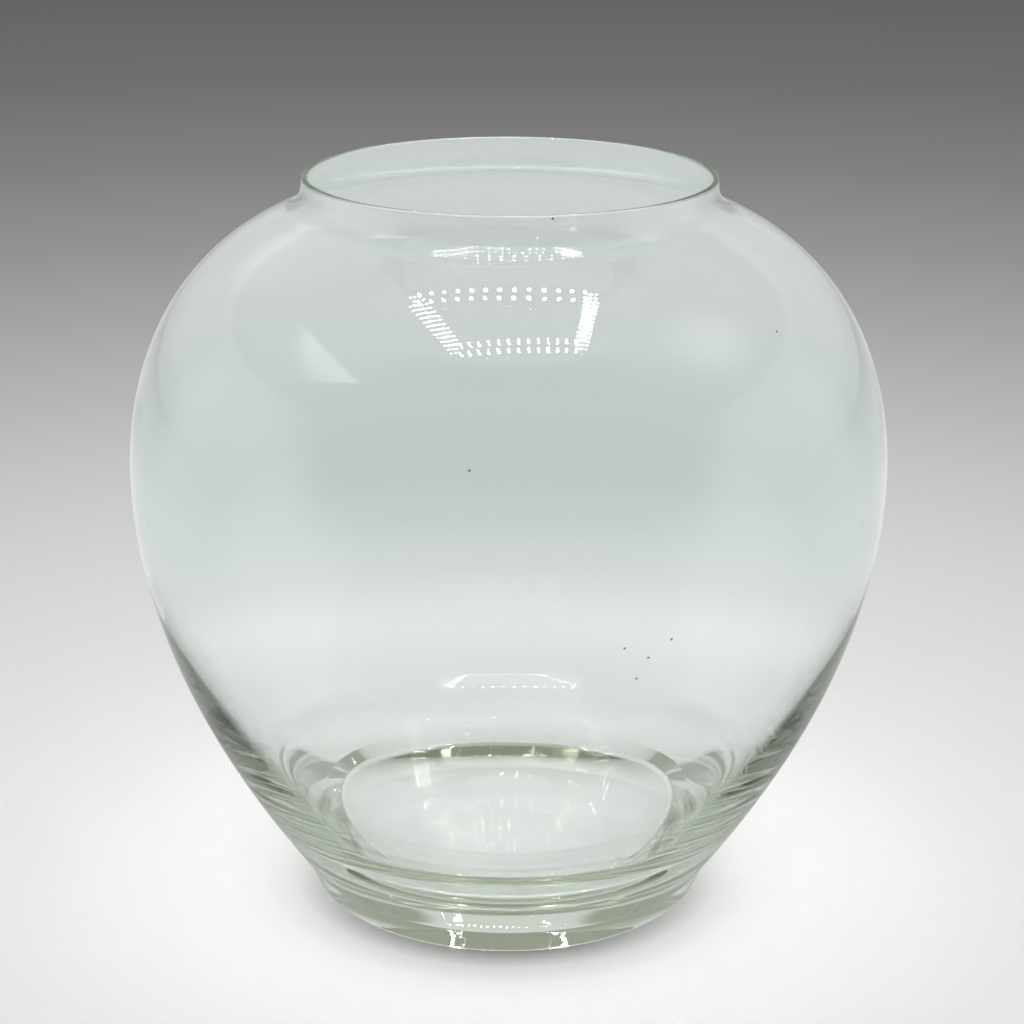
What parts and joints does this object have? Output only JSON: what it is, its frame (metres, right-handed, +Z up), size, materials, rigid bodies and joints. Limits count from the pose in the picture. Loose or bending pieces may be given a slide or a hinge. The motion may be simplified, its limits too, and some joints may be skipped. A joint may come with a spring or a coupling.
{
  "type": "glass bowl",
  "caption": "Globe-shaped clear glass bowl on a thick solid foot, with a short open collar, for flowers, water or display.",
  "frame": {"origin": "middle of the flat underside, on the surface that the bowl stands on", "axes": "+Z up through the middle of the mouth; the bowl is round about Z, so +X and +Y are any two level directions"},
  "size_m": [0.2244, 0.2244, 0.22],
  "materials": {
    "clear_glass": "fire-polished clear glass with a faint green tint"
  },
  "bodies": {
    "root": {"glass_bowl": "clear_glass"}
  },
  "joints": []
}
